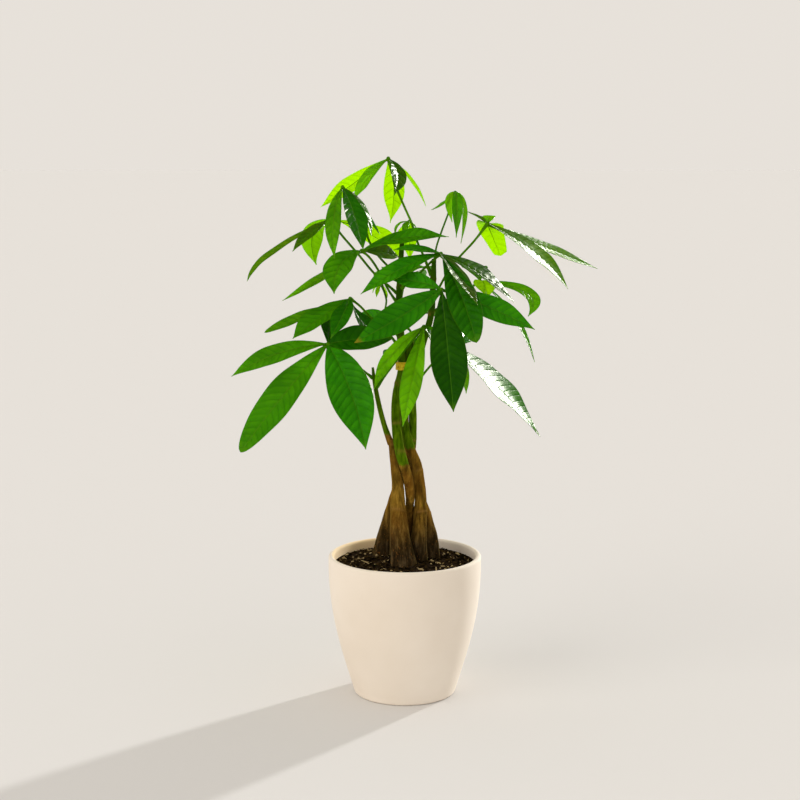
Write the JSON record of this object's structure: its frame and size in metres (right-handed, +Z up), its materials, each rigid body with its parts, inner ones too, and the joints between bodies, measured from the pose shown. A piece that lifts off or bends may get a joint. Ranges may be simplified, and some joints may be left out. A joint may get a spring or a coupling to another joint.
{
  "type": "potted money tree",
  "caption": "House plant in a tapered ceramic pot: slim trunks braided together above the soil, with palm-shaped leaves on long stalks.",
  "frame": {"origin": "middle of the pot's foot, on the surface that the pot stands on", "axes": "+Z up along the pot's axis, -Y towards the front of the plant, +X to its right"},
  "size_m": [0.3856, 0.2728, 0.561],
  "materials": {
    "pot": "matte",
    "soil": "matte",
    "bark": "matte",
    "tie": "satin",
    "leaf": "satin",
    "young_leaf": "satin"
  },
  "bodies": {
    "root": {"pot": "pot", "soil": "soil", "stem_left": "bark", "stem_front": "bark", "stem_back": "bark", "stem_right": "bark", "stem_far_right": "bark", "tie": "tie", "leaf_low_left": "leaf", "leaf_mid_left": "leaf", "leaf_left_centre": "leaf", "leaf_left_upper": "leaf", "leaf_upper_left": "leaf", "leaf_top": "leaf", "leaf_right_upper": "leaf", "leaf_right_centre": "leaf", "leaf_front_centre": "leaf", "leaf_low_centre": "leaf", "leaf_low_right": "leaf", "leaf_right_back": "leaf", "leaf_back_mid": "leaf", "leaf_back_low": "leaf", "leaf_back_upper": "leaf", "leaf_top_young": "young_leaf", "leaf_right_young": "young_leaf", "leaf_young_shoot": "young_leaf"}
  },
  "joints": []
}
